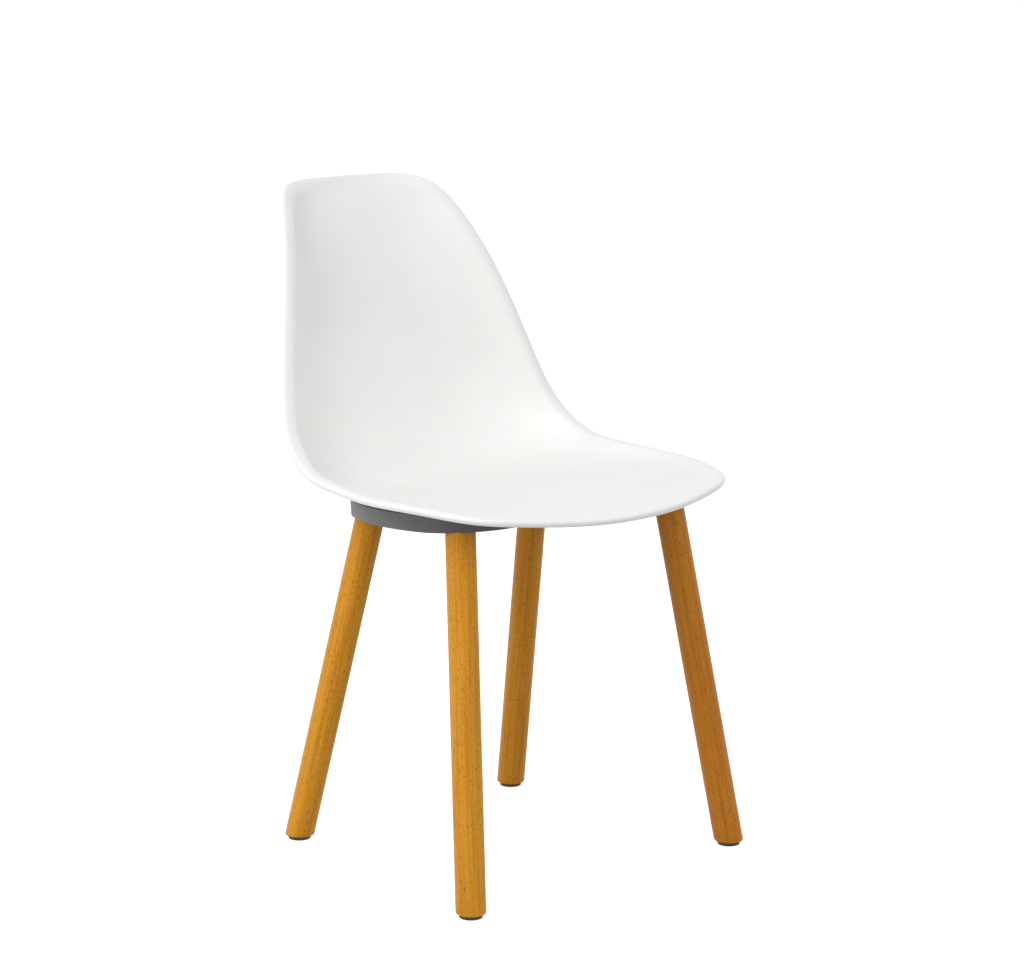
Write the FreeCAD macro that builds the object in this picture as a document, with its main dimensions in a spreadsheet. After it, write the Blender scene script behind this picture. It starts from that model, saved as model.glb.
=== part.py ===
import FreeCAD, Part
import Sketcher
import math
import os

# Moulded plastic shell chair.
# A one-piece white shell stands on a grey moulded base that takes four splayed dowel legs.
# Millimetres. +Z is up, the sitter faces -Y, and Z = 0 is the floor under the middle of the chair.

Vector = FreeCAD.Vector
Placement = FreeCAD.Placement
Rotation = FreeCAD.Rotation

# Driving sizes: name and value.
SIZES = [
    # shell, seen from the front and the side
    ("shell_width", 491.0),
    ("seat_height", 443.0),
    ("seat_depth", 323.0),
    ("seat_front_reach", 217.0),
    ("side_rise", 20.0),
    ("seat_crown", 12.0),
    ("seat_dip", 10.0),
    ("back_height", 348.5),
    ("back_reach", 214.0),
    ("shell_wall", 5.0),
    ("lip_width", 20.0),
    ("lip_raise", 1.5),
    ("lip_fade", 60.0),
    # bosses and inserts under the shell
    ("boss_radius", 10.0),
    ("boss_spacing_across", 150.0),
    ("boss_spacing_front", 62.0),
    ("boss_spacing_rear", 70.0),
    ("insert_radius", 4.2),
    ("insert_length", 8.0),
    ("insert_hole_spare", 0.6),
    # grey base
    ("base_drop", 23.0),
    ("base_tilt", 5.0),
    ("base_depth", 20.0),
    ("base_side_inset", 51.5),
    ("base_front_reach", 140.0),
    ("base_rear_reach", 138.0),
    ("base_front_corner", 78.0),
    ("base_rear_corner", 40.0),
    ("base_side_curve", 370.0),
    ("base_wall", 3.5),
    ("base_floor", 4.0),
    ("base_edge_round", 2.0),
    ("base_seam", 3.5),
    ("rib_wall", 3.0),
    ("rib_height", 9.0),
    ("pillar_height", 9.0),
    ("pillar_radius", 10.0),
    ("socket_wall", 3.2),
    # legs
    ("leg_radius", 17.5),
    ("leg_fit", 0.25),
    ("leg_insertion", 12.0),
    ("front_head_inset", 31.8),
    ("front_head_along", 97.7),
    ("rear_head_inset", 65.9),
    ("rear_head_along", 97.7),
    ("head_rise", 17.5),
    ("front_splay_across", 45.4),
    ("front_splay_along", 70.2),
    ("rear_splay_across", 45.1),
    ("rear_splay_along", 99.0),
    ("foot_round", 2.5),
    ("top_chamfer", 1.0),
    # leg bolts
    ("bolt_radius", 4.0),
    ("bolt_length", 34.0),
    ("bolt_head_radius", 8.0),
    ("bolt_head_height", 2.6),
    ("bolt_drive_radius", 3.0),
    ("bolt_hole_spare", 0.3),
    ("roof_wall", 3.6),
    ("leg_washer_radius", 9.5),
    ("leg_washer_thickness", 1.0),
    ("leg_insert_radius", 6.0),
    ("leg_insert_length", 20.0),
    ("leg_pilot_depth", 34.0),
    # seat screws
    ("screw_radius", 2.9),
    ("screw_grip_spare", 0.3),
    ("screw_length", 12.0),
    ("screw_head_radius", 5.2),
    ("screw_head_height", 3.0),
    ("screw_drive_radius", 2.0),
    ("screw_washer_radius", 6.0),
    ("screw_washer_thickness", 1.2),
    ("counterbore_depth", 5.0),
    ("counterbore_spare", 0.7),
    ("thread_gap", 0.1),
    # foot glides
    ("glide_radius", 13.5),
    ("glide_height", 4.5),
    ("glide_round", 1.2),
    ("glide_recess_radius", 4.4),
    ("glide_recess_depth", 2.2),
    ("glide_screw_radius", 1.75),
    ("glide_screw_head_radius", 4.0),
    ("glide_screw_head_height", 1.7),
    ("glide_screw_drive_radius", 1.2),
    ("glide_screw_length", 18.0),
    ("drive_depth", 1.2),
]

document = FreeCAD.newDocument("shell_chair")
sheet = document.addObject("Spreadsheet::Sheet", "sizes")
for row, (name, value) in enumerate(SIZES, start=1):
    sheet.set(f"A{row}", name.replace("_", " "))
    sheet.set(f"B{row}", str(value))
    sheet.setAlias(f"B{row}", name)
document.recompute()


def size(name):
    """A driving size, read from the sheet."""
    return float(sheet.get(name))


def bind(item, field, expression):
    """Bind a property to the sheet; sizes are written by their plain names."""
    names = sorted((name for name, _ in SIZES), key=len, reverse=True)
    words = expression.split(" ")
    bound = ["sizes." + word if word in names else word for word in words]
    item.setExpression(field, " ".join(bound))


def origin_plane(body, role):
    """One of the body's own origin planes."""
    return next(item for item in body.Origin.OriginFeatures if item.Role == role)


def new_sketch(body, name, role, height=0.0):
    """A sketch on an origin plane of the body, moved along the plane's normal."""
    sketch = body.newObject("Sketcher::SketchObject", name)
    sketch.AttachmentSupport = [(origin_plane(body, role), "")]
    sketch.MapMode = "FlatFace"
    sketch.AttachmentOffset = Placement(Vector(0, 0, height), Rotation())
    return sketch


def add_circle(sketch, radius):
    """A circle on the sketch's origin whose radius is a size expression."""
    circle = sketch.addGeometry(Part.Circle(Vector(0, 0, 0), Vector(0, 0, 1), 10.0))
    sketch.addConstraint(Sketcher.Constraint("Coincident", circle, 3, -1, 1))
    row = sketch.addConstraint(Sketcher.Constraint("Radius", circle, 10.0))
    bind(sketch, f"Constraints[{row}]", radius)
    return circle


def add_profile(sketch, corners):
    """A closed polygon; each corner is a pair of size expressions, 0 meaning on the axis."""
    spots = [Vector(evaluate(across), evaluate(up), 0) for across, up in corners]
    lines = []
    for start, end in zip(spots, spots[1:] + spots[:1]):
        lines.append(sketch.addGeometry(Part.LineSegment(start, end)))
    for line, following in zip(lines, lines[1:] + lines[:1]):
        sketch.addConstraint(Sketcher.Constraint("Coincident", line, 2, following, 1))
    for line, (across, up), spot in zip(lines, corners, spots):
        for kind, expression, value, axis in (("DistanceX", across, spot.x, -2),
                                              ("DistanceY", up, spot.y, -1)):
            if expression == "0":
                sketch.addConstraint(Sketcher.Constraint("PointOnObject", line, 1, axis))
                continue
            row = sketch.addConstraint(Sketcher.Constraint(kind, -1, 1, line, 1, value))
            bind(sketch, f"Constraints[{row}]", expression)


def evaluate(expression):
    """The value of a size expression made of names, numbers, + and -."""
    total, sign = 0.0, 1.0
    for word in expression.split(" "):
        if word == "+":
            sign = 1.0
        elif word == "-":
            sign = -1.0
        else:
            number = size(word) if word[0].isalpha() else float(word)
            total += sign * number
    return total


def turned_body(name, corners):
    """A body turned about its own Z axis from a half profile."""
    body = document.addObject("PartDesign::Body", name)
    sketch = new_sketch(body, name + "_profile", "XZ_Plane")
    add_profile(sketch, corners)
    turned = body.newObject("PartDesign::Revolution", name + "_turned")
    turned.Profile = sketch
    turned.ReferenceAxis = (sketch, ["V_Axis"])
    turned.Angle = 360.0
    return body


# The chair's own frame

def base_height():
    """Height of the grey base's underside below the middle of the seat."""
    return size("seat_height") - size("base_drop")


def base_half_width():
    """The grey base's reach to each side, set in from the shell's widest point."""
    return size("shell_width") / 2 - size("base_side_inset")


def base_frame():
    """The grey base's frame: its underside plane, tipped up at the front."""
    tilt = Rotation(Vector(1, 0, 0), -size("base_tilt"))
    return Placement(Vector(0, 0, base_height()), tilt)


def leg_ends(corner):
    """The head and foot points of one leg's axis."""
    end, side = corner.split("_")
    across = 1.0 if side == "left" else -1.0
    along = -1.0 if end == "front" else 1.0
    head = Vector(across * (base_half_width() - size(end + "_head_inset")),
                  along * size(end + "_head_along"), base_height() + size("head_rise"))
    splay_out = Vector(across * size(end + "_splay_across"),
                       along * size(end + "_splay_along"), -head.z)
    return head, head + splay_out


def leg_frame(corner):
    """A leg's frame: Z up its axis, X in the plane of its splay, origin at the glide's top."""
    head, foot = leg_ends(corner)
    axis = (head - foot).normalize()
    start = foot + axis * (size("glide_height") / axis.z)
    level = Vector(0, 0, 1).cross(axis).normalize()
    rotation = Rotation(level.cross(axis), level, axis, "ZXY")
    return Placement(start, rotation)


def splay(corner):
    """The angle between a leg and the vertical, in degrees."""
    head, foot = leg_ends(corner)
    return math.degrees((head - foot).getAngle(Vector(0, 0, 1)))


def leg_length(corner):
    """From the glide's top to the leg's end inside its socket, along the axis."""
    frame = leg_frame(corner)
    up = frame.Rotation.multVec(Vector(0, 0, 1))
    base = base_frame()
    normal = base.Rotation.multVec(Vector(0, 0, 1))
    reach = (base.Base - frame.Base).dot(normal) / up.dot(normal)
    return reach + size("leg_insertion")


def leg_top_frame(corner, height=0.0):
    """The frame at a leg's top end, raised along the leg's axis."""
    return leg_frame(corner).multiply(
        Placement(Vector(0, 0, leg_length(corner) + height), Rotation()))


CORNERS = ["front_left", "front_right", "rear_left", "rear_right"]


# The shell's skin: ribs run from the centre line out to the rim.

def rim_points():
    """Control points of the rim, from the front's middle round the left side to the top's middle."""
    half = size("shell_width") / 2
    front, depth = -size("seat_front_reach"), size("seat_depth")
    low, rise = size("seat_height"), size("side_rise")
    tall, reach = size("back_height"), size("back_reach")
    seat = [(0.00, 0.000, 0.06), (0.25, 0.000, 0.06), (0.62, 0.070, 0.50), (0.83, 0.158, 0.70),
            (0.92, 0.378, 1.00), (0.977, 0.610, 0.95), (0.93, 0.850, 1.15), (0.924, 1.000, 1.35)]
    back = [(0.88, 0.215, 0.170), (0.832, 0.318, 0.297), (0.749, 0.424, 0.516),
            (0.652, 0.551, 0.731), (0.556, 0.699, 0.891), (0.469, 0.870, 1.005),
            (0.25, 1.000, 1.000), (0.00, 1.000, 1.000)]
    points = [Vector(half * across, front + depth * along, low + rise * up)
              for across, along, up in seat]
    points += [Vector(half * across, front + depth + reach * along, low + tall * up)
               for across, along, up in back]
    return points


def centre_line_points():
    """Control points of the shell's centre line, from the front edge to the top edge."""
    front, depth = -size("seat_front_reach"), size("seat_depth")
    low, crown, dip = size("seat_height"), size("seat_crown"), size("seat_dip")
    tall, reach = size("back_height"), size("back_reach")
    bend = front + depth
    return [Vector(0, front, low), Vector(0, front + 0.06 * depth, low + 0.9 * crown),
            Vector(0, front + 0.33 * depth, low + crown), Vector(0, front + 0.72 * depth, low),
            Vector(0, bend + 0.08 * reach, low - dip), Vector(0, bend + 0.44 * reach, low - 3),
            Vector(0, bend + 0.53 * reach, low + 0.22 * tall),
            Vector(0, bend + 0.67 * reach, low + 0.57 * tall),
            Vector(0, bend + 0.83 * reach, low + 0.81 * tall),
            Vector(0, bend + reach, low + tall)]


# Where along the centre line each rib starts, as a share of the line's parameter.
RIB_STARTS = [0.16, 0.17, 0.19, 0.21, 0.24, 0.30, 0.38, 0.46,
              0.54, 0.60, 0.70, 0.80, 0.87, 0.91, 0.92, 0.92]

# A rib between the centre line and the lip: share of the way there, share of its rise.
RIB_SHAPE = [(0.0, 0.0), (0.37, 0.0), (0.74, 0.07), (0.94, 0.58)]

# The lip: lip widths in from the rim, shares of the rise without and with a flat lip, and the
# share of the lip's raise.
LIP_SHAPE = [(1.0, 0.72, 0.99, 0.3), (0.68, 0.84, 1.0, 1.0), (0.36, 0.94, 1.0, 0.9)]

# The turned-down edge: outwards and upwards from the rim, in wall thicknesses.
EDGE_SHAPE = [(-0.45, 0.08), (0.12, -0.45), (-0.25, -1.55), (-0.90, -1.50), (-1.15, -1.0)]

# Where the flat lip is whole, as a share of the shell's width off the middle.
LIP_WHOLE = 0.22


def even_knots(count, degree=3):
    """Knots and multiplicities of a clamped even B-spline."""
    spans = count - degree
    knots = [index / spans for index in range(spans + 1)]
    return knots, [degree + 1] + [1] * (spans - 1) + [degree + 1]


def spline(points):
    """A clamped cubic B-spline on its control points."""
    knots, multiplicities = even_knots(len(points))
    curve = Part.BSplineCurve()
    curve.buildFromPolesMultsKnots(points, multiplicities, knots, False, 3)
    return curve


def lip_share(point):
    """How much of the flat lip is left: all at the sides, none in front and at the top's middle."""
    behind_front = (point.y + size("seat_front_reach")) / size("lip_fade")
    off_middle = point.x / (LIP_WHOLE * size("shell_width"))
    share = min(behind_front, off_middle, 1.0)
    return share * share * (3 - 2 * share)


def rib(line, start, rim_point):
    """Control points of one rib: flat at the centre, a rising wall, then the lip."""
    foot = line.value(start)
    along = line.tangent(start)[0]
    upward = Vector(0, -along.z, along.y)
    reach = rim_point - foot
    run = Vector(reach.x, 0, 0) + along * reach.dot(along)
    rise = reach - run
    lip = size("lip_width") / run.Length
    share = lip_share(rim_point)
    points = [foot + run * (out * (1.0 - lip)) + rise * up for out, up in RIB_SHAPE]
    for inset, up_without, up_with, raised in LIP_SHAPE:
        up = up_without + (up_with - up_without) * share
        lift = upward * (raised * size("lip_raise") * share)
        points.append(foot + run * (1.0 - inset * lip) + rise * up + lift)
    return points + [rim_point], run.normalize(), upward


def skin_ribs():
    """The half shell's ribs, from the front edge to the top edge."""
    line = spline(centre_line_points())
    return [rib(line, start, point) for start, point in zip(RIB_STARTS, rim_points())]


def net_normal(net, station, place):
    """The net's upward normal at one of its points."""
    place = max(place, 1)
    before = net[max(station - 1, 0)][place]
    after = net[min(station + 1, len(net) - 1)][place]
    if station == 0:
        before = Vector(-net[1][place].x, net[1][place].y, net[1][place].z)
    if station == len(net) - 1:
        after = Vector(-net[-2][place].x, net[-2][place].y, net[-2][place].z)
    inner = net[station][place - 1]
    outer = net[station][min(place + 1, len(net[station]) - 1)]
    return (outer - inner).cross(after - before).normalize()


def wall_net(wall):
    """The skin net carried over the turned-down rim and back along the underside."""
    ribs = skin_ribs()
    net = [points for points, _, _ in ribs]
    rows = []
    for station, (points, outward, upward) in enumerate(ribs):
        normals = [net_normal(net, station, place) for place in range(len(points))]
        normals[0] = Vector(0, normals[0].y, normals[0].z).normalize()
        if station in (0, len(net) - 1):
            normals = [Vector(0, normal.y, normal.z).normalize() for normal in normals]
        edge = [points[-1] + (outward * out + upward * up) * wall for out, up in EDGE_SHAPE]
        under = [point + normal * -wall for point, normal in zip(points, normals)]
        rows.append(points[:-1] + edge + under[-2::-1])
    return rows


def shell_half(rows):
    """One half of the shell as a B-spline face."""
    knots_along, mults_along = even_knots(len(rows))
    knots_across, mults_across = even_knots(len(rows[0]))
    surface = Part.BSplineSurface()
    surface.buildFromPolesMultsKnots(rows, mults_along, mults_across, knots_along, knots_across,
                                     False, False, 3, 3)
    return surface.toShape()


def shell_solid(wall):
    """Both halves of the shell, sewn along the centre plane."""
    rows = wall_net(wall)
    left = shell_half(rows)
    right = shell_half([[Vector(-point.x, point.y, point.z) for point in row] for row in rows])
    shell = Part.makeShell([left, right])
    shell.sewShape()
    solid = Part.makeSolid(shell)
    if solid.Volume < 0:
        solid.reverse()
    return solid


# Shared builders

def make_cylinder(name, radius, height, frame):
    """A cylinder whose radius and height are size expressions."""
    item = document.addObject("Part::Cylinder", name)
    bind(item, "Radius", radius)
    bind(item, "Height", height)
    item.Placement = frame
    return item


def fuse(name, items):
    """One solid from touching pieces of the same moulding."""
    item = document.addObject("Part::MultiFuse", name)
    item.Shapes = items
    return item


def cut(name, base, tool):
    """The base less the tool."""
    item = document.addObject("Part::Cut", name)
    item.Base = base
    item.Tool = tool
    return item


def fixed_shape(name, shape):
    """A shape worked out by formula."""
    item = document.addObject("Part::Feature", name)
    item.Shape = shape
    return item


def group(name, items):
    """Several copies of one fastener, as one node of separate solids."""
    item = document.addObject("Part::Compound", name)
    item.Links = items
    return item


def raised(frame, height):
    """A frame moved along its own Z axis."""
    return frame.multiply(Placement(Vector(0, 0, height), Rotation()))


# Shell

def screw_spots():
    """Where the four seat screws stand, in the base's frame."""
    across = size("boss_spacing_across") / 2
    return [Vector(side * across, along, 0)
            for along in (-size("boss_spacing_front"), size("boss_spacing_rear"))
            for side in (-1, 1)]


def screw_frame(spot, height=0.0):
    """The frame of one seat screw, raised above the base's underside plane."""
    return base_frame().multiply(Placement(spot + Vector(0, 0, height), Rotation()))


def gap_to_skin(solid, frame, reach=80.0):
    """How far the shell's underside is from a frame's origin, along its Z axis."""
    start = frame.Base
    ray = Part.makeLine(start, frame.multVec(Vector(0, 0, reach)))
    return min(vertex.Point.distanceToPoint(start) for vertex in ray.common(solid).Vertexes)


def make_shell(skin):
    """The one-piece seat and back with four screw bosses on its underside."""
    moulding = fixed_shape("shell_skin", skin)
    bosses, holes = [], []
    for index, spot in enumerate(screw_spots()):
        foot = screw_frame(spot, size("pillar_height"))
        boss = document.addObject("Part::Cylinder", f"shell_boss_{index}")
        bind(boss, "Radius", "boss_radius")
        boss.Height = gap_to_skin(skin, foot) + size("shell_wall") / 2
        boss.Placement = foot
        bosses.append(boss)
        holes.append(make_cylinder(f"insert_hole_{index}", "insert_radius",
                                   "insert_length + insert_hole_spare", foot))
    return cut("seat_shell", fuse("shell_with_bosses", [moulding] + bosses),
               fuse("insert_holes", holes))


# Grey base

def outline_arcs(inset):
    """Centre, radius and end angles of the outline's arcs on the sitter's left."""
    corner, rear, side = (size("base_front_corner"), size("base_rear_corner"),
                          size("base_side_curve"))
    front_centre = Vector(base_half_width() - corner, corner - size("base_front_reach"), 0)
    side_centre = Vector(base_half_width() - side, front_centre.y, 0)
    up = size("base_rear_reach") - rear - side_centre.y
    across = math.sqrt((side - rear) ** 2 - up ** 2)
    rear_centre = side_centre + Vector(across, up, 0)
    joint = math.atan2(up, across)
    return [(front_centre, corner - inset, -math.pi / 2, 0.0),
            (side_centre, side - inset, 0.0, joint),
            (rear_centre, rear - inset, joint, math.pi / 2)]


def draw_outline(sketch, inset):
    """The base's plan outline, drawn in by the inset."""
    arcs = outline_arcs(inset)
    mirrored = [(Vector(-centre.x, centre.y, 0), radius, math.pi - end, math.pi - start)
                for centre, radius, start, end in reversed(arcs)]
    for centre, radius, start, end in arcs + mirrored:
        circle = Part.Circle(centre, Vector(0, 0, 1), radius)
        sketch.addGeometry(Part.ArcOfCircle(circle, start, end))
    for centre, radius, level in ((arcs[0][0], arcs[0][1], -1), (arcs[2][0], arcs[2][1], 1)):
        edge = centre.y + level * radius
        sketch.addGeometry(Part.LineSegment(Vector(-centre.x, edge, 0), Vector(centre.x, edge, 0)))


def outline_body(name, inset, floor, height):
    """A block on the base's outline, from a floor level up."""
    body = document.addObject("PartDesign::Body", name)
    sketch = new_sketch(body, name + "_outline", "XY_Plane", floor)
    draw_outline(sketch, inset)
    pad = body.newObject("PartDesign::Pad", name + "_block")
    pad.Profile = sketch
    bind(pad, "Length", height)
    document.recompute()
    return body, pad


def make_block():
    """The base's full block with its lower edge rounded."""
    body, pad = outline_body("base_block", 0.0, 0.0, "base_depth")
    low = [f"Edge{index}" for index, edge in enumerate(pad.Shape.Edges, start=1)
           if edge.BoundBox.ZMax < 0.01]
    rounding = body.newObject("PartDesign::Fillet", "base_block_round")
    rounding.Base = (pad, low)
    bind(rounding, "Radius", "base_edge_round")
    return body


def in_base(frame):
    """A chair frame seen from the base's own frame."""
    return base_frame().inverse().multiply(frame)


def make_towers(block):
    """The four leg sockets' outsides, kept within the base's outline."""
    drop = 30.0
    towers = []
    for corner in CORNERS:
        frame = leg_top_frame(corner, -size("leg_insertion") - drop)
        towers.append(make_cylinder(f"tower_{corner}", "leg_radius + leg_fit + socket_wall",
                                    f"{drop} + leg_insertion + roof_wall", in_base(frame)))
    common = document.addObject("Part::Common", "towers_in_outline")
    common.Base = fuse("towers", towers)
    common.Tool = block
    return common


def make_rib(name, start, end):
    """A stiffening wall on the tray's floor between two spots."""
    run = end - start
    item = document.addObject("Part::Box", name)
    item.Length = run.Length
    bind(item, "Width", "rib_wall")
    bind(item, "Height", "rib_height - 1")
    turn = Rotation(Vector(1, 0, 0), run)
    aside = turn.multVec(Vector(0, -size("rib_wall") / 2, 1))
    item.Placement = Placement(start + aside, turn)
    return item


def make_ribs():
    """Ribs round the four pillars and out to the four sockets."""
    front_right, front_left, rear_right, rear_left = screw_spots()
    runs = [(front_right, front_left), (rear_right, rear_left),
            (front_right, rear_right), (front_left, rear_left),
            (front_right, rear_left), (front_left, rear_right)]
    for corner, spot in zip(CORNERS, (front_left, front_right, rear_left, rear_right)):
        socket = in_base(leg_top_frame(corner)).Base
        runs.append((spot, Vector(socket.x, socket.y, 0)))
    return [make_rib(f"rib_{index}", start, end) for index, (start, end) in enumerate(runs)]


def make_base_holes():
    """Leg bores, bolt holes and seat-screw holes."""
    drop, spare = 30.0, 20.0
    tools = []
    for corner in CORNERS:
        low = in_base(leg_top_frame(corner, -size("leg_insertion") - drop))
        tools.append(make_cylinder(f"leg_bore_{corner}", "leg_radius + leg_fit",
                                   f"{drop} + leg_insertion", low))
        tools.append(make_cylinder(f"bolt_hole_{corner}", "bolt_radius + bolt_hole_spare",
                                   f"roof_wall + {spare}", in_base(leg_top_frame(corner, -1))))
        tools.append(make_cylinder(f"bolt_room_{corner}", "leg_washer_radius + bolt_hole_spare",
                                   f"{spare}", in_base(leg_top_frame(corner, size("roof_wall")))))
    for index, spot in enumerate(screw_spots()):
        below = Placement(spot - Vector(0, 0, 1), Rotation())
        tools.append(make_cylinder(f"screw_hole_{index}", "screw_radius + screw_grip_spare",
                                   f"{spare}", below))
        tools.append(make_cylinder(f"counterbore_{index}", "screw_washer_radius + counterbore_spare",
                                   "counterbore_depth + 1", below))
    return tools


def make_base():
    """The moulded tray: skirt, floor, sockets, pillars and ribs."""
    block = make_block()
    hollow, _ = outline_body("base_hollow", size("base_wall"), size("base_floor"), "base_depth")
    tray = cut("base_tray", block, hollow)
    pillars = [make_cylinder(f"pillar_{index}", "pillar_radius", "pillar_height - 1",
                             Placement(spot + Vector(0, 0, 1), Rotation()))
               for index, spot in enumerate(screw_spots())]
    solid = fuse("base_solid", [tray, make_towers(block)] + pillars + make_ribs())
    clearance = shell_solid(size("shell_wall") + size("base_seam"))
    clearance.Placement = base_frame().inverse()
    tools = make_base_holes() + [fixed_shape("shell_clearance", clearance)]
    return cut("underseat_base", solid, fuse("base_holes", tools))


# Legs

def subtract_cylinder(body, name, radius, height, frame):
    """A round hole in a body."""
    hole = body.newObject("PartDesign::SubtractiveCylinder", name)
    bind(hole, "Radius", radius)
    bind(hole, "Height", height)
    hole.Placement = frame
    return hole


def round_level_edges(body, feature, name, kind, radius, level):
    """Round or chamfer the edges of a feature that lie on the level plane of a frame."""
    document.recompute()
    toward = level.inverse()
    names = []
    for index, edge in enumerate(feature.Shape.Edges, start=1):
        points = [toward.multVec(point) for point in edge.discretize(12)]
        if all(abs(point.z) < 0.01 for point in points):
            names.append(f"Edge{index}")
    dressing = body.newObject("PartDesign::" + kind, name)
    dressing.Base = (feature, names)
    bind(dressing, "Radius" if kind == "Fillet" else "Size", radius)
    return dressing


def make_leg(corner):
    """A straight dowel: level foot, square top end, bolt hole above and screw hole below."""
    name = "leg_" + corner
    body = document.addObject("PartDesign::Body", name)
    level = Placement(Vector(0, 0, 0), Rotation(Vector(0, 1, 0), -splay(corner)))
    spare = 10.0
    sketch = new_sketch(body, name + "_round", "XY_Plane", -spare)
    add_circle(sketch, "leg_radius")
    pad = body.newObject("PartDesign::Pad", name + "_dowel")
    pad.Profile = sketch
    pad.Length = leg_length(corner) + spare
    foot = body.newObject("PartDesign::SubtractiveBox", name + "_foot_cut")
    wide = 8 * size("leg_radius")
    foot.Length = wide
    foot.Width = wide
    foot.Height = wide
    foot.Placement = level.multiply(Placement(Vector(-wide / 2, -wide / 2, -wide), Rotation()))
    round_level_edges(body, foot, name + "_foot_round", "Fillet", "foot_round", level)
    top = Placement(Vector(0, 0, leg_length(corner)), Rotation())
    round_level_edges(body, body.Tip, name + "_top_chamfer", "Chamfer", "top_chamfer", top)
    subtract_cylinder(body, name + "_insert_hole", "leg_insert_radius", "leg_insert_length + 1",
                      raised(top, -size("leg_insert_length")))
    subtract_cylinder(body, name + "_bolt_pilot", "bolt_radius + bolt_hole_spare",
                      "leg_pilot_depth", raised(top, -size("leg_pilot_depth")))
    subtract_cylinder(body, name + "_screw_pilot", "glide_screw_radius + thread_gap",
                      "glide_screw_length", raised(level, -1))
    body.Placement = leg_frame(corner)
    return body


# Fasteners and glides, all turned about their own axis

def make_ring(name, inner, outer, height):
    """A washer or a threaded insert."""
    return turned_body(name, [(inner, "0"), (outer, "0"), (outer, height), (inner, height)])


def make_screw(name, shank, length, head, head_height, drive):
    """A screw standing on its head's seat: shank up, head below."""
    low = "0 - " + head_height
    return turned_body(name, [
        ("0", low + " + drive_depth"), (drive, low + " + drive_depth"),
        (drive, low), (head, low), (head, "0"), (shank, "0"), (shank, length + " - " + shank),
        ("0", length)])


def make_bolt(name):
    """A leg bolt: flat head above its seat, shank down."""
    return turned_body(name, [
        ("0", "0 - bolt_length"), ("bolt_radius", "0 - bolt_length + thread_gap"),
        ("bolt_radius", "0"), ("bolt_head_radius", "0"), ("bolt_head_radius", "bolt_head_height"),
        ("bolt_drive_radius", "bolt_head_height"),
        ("bolt_drive_radius", "bolt_head_height - drive_depth"),
        ("0", "bolt_head_height - drive_depth")])


def copies(name, maker, frames):
    """One turned piece made and placed once for each frame."""
    bodies = []
    for index, frame in enumerate(frames):
        body = maker(f"{name}_{index}")
        body.Placement = frame
        bodies.append(body)
    return group(name, bodies)


def glide_frame(corner, height=0.0):
    """A foot glide's frame: flat on the floor under the leg's end."""
    foot = leg_frame(corner).Base
    return Placement(Vector(foot.x, foot.y, height), Rotation())


def make_glide(corner):
    """A plastic foot glide with a recess for its screw."""
    name = "glide_" + corner
    body = turned_body(name, [
        ("glide_recess_radius", "0"), ("glide_radius", "0"), ("glide_radius", "glide_height"),
        ("glide_screw_radius + thread_gap", "glide_height"),
        ("glide_screw_radius + thread_gap", "glide_recess_depth"),
        ("glide_recess_radius", "glide_recess_depth")])
    document.recompute()
    turned = body.Tip
    edges = [f"Edge{index}" for index, edge in enumerate(turned.Shape.Edges, start=1)
             if hasattr(edge.Curve, "Radius") and edge.Curve.Radius > size("glide_radius") - 0.1
             and edge.BoundBox.ZMax < 0.01]
    rounding = body.newObject("PartDesign::Fillet", name + "_round")
    rounding.Base = (turned, edges)
    bind(rounding, "Radius", "glide_round")
    body.Placement = glide_frame(corner)
    return body


def make_fasteners():
    """Inserts, washers, bolts and screws, each kind as one group."""
    seat = size("counterbore_depth") - size("screw_washer_thickness")
    roof = size("roof_wall")
    over = roof + size("leg_washer_thickness")
    spots = screw_spots()
    return [
        copies("shell_inserts",
               lambda name: make_ring(name, "screw_radius + thread_gap", "insert_radius",
                                      "insert_length"),
               [screw_frame(spot, size("pillar_height")) for spot in spots]),
        copies("seat_screws",
               lambda name: make_screw(name, "screw_radius", "screw_length", "screw_head_radius",
                                       "screw_head_height", "screw_drive_radius"),
               [screw_frame(spot, seat) for spot in spots]),
        copies("seat_screw_washers",
               lambda name: make_ring(name, "screw_radius + screw_grip_spare",
                                      "screw_washer_radius", "screw_washer_thickness"),
               [screw_frame(spot, seat) for spot in spots]),
        copies("leg_inserts",
               lambda name: make_ring(name, "bolt_radius + thread_gap", "leg_insert_radius",
                                      "leg_insert_length"),
               [leg_top_frame(corner, -size("leg_insert_length")) for corner in CORNERS]),
        copies("leg_bolts", make_bolt, [leg_top_frame(corner, over) for corner in CORNERS]),
        copies("leg_bolt_washers",
               lambda name: make_ring(name, "bolt_radius + bolt_hole_spare", "leg_washer_radius",
                                      "leg_washer_thickness"),
               [leg_top_frame(corner, roof) for corner in CORNERS]),
        copies("glide_screws",
               lambda name: make_screw(name, "glide_screw_radius", "glide_screw_length",
                                       "glide_screw_head_radius", "glide_screw_head_height",
                                       "glide_screw_drive_radius"),
               [glide_frame(corner, size("glide_recess_depth")) for corner in CORNERS])]


# Whole chair

def middle_of(shape):
    """The middle of a shape's front-to-back extent."""
    points, _ = shape.tessellate(0.2)
    places = [point.y for point in points]
    return (min(places) + max(places)) / 2


def check(item):
    """Stop when a piece failed to build."""
    bad = [state for state in item.State if state in ("Invalid", "Error")]
    if bad or item.Shape.isNull() or not item.Shape.isValid():
        raise RuntimeError(f"{item.Name}: {item.State}")


def export(item):
    """Write one node's STEP file and tell its solids and volume."""
    shape = item.Shape
    shape.exportStep(f"parts/{item.Label}.step")
    print(f"{item.Label}: {len(shape.Solids)} solid(s), {shape.Volume / 1000:.1f} cm3")


skin = shell_solid(size("shell_wall"))
shell = make_shell(skin)
base = make_base()
base.Placement = base_frame()
nodes = [shell, base]
nodes += [make_leg(corner) for corner in CORNERS]
nodes += [make_glide(corner) for corner in CORNERS]
nodes += make_fasteners()

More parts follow.
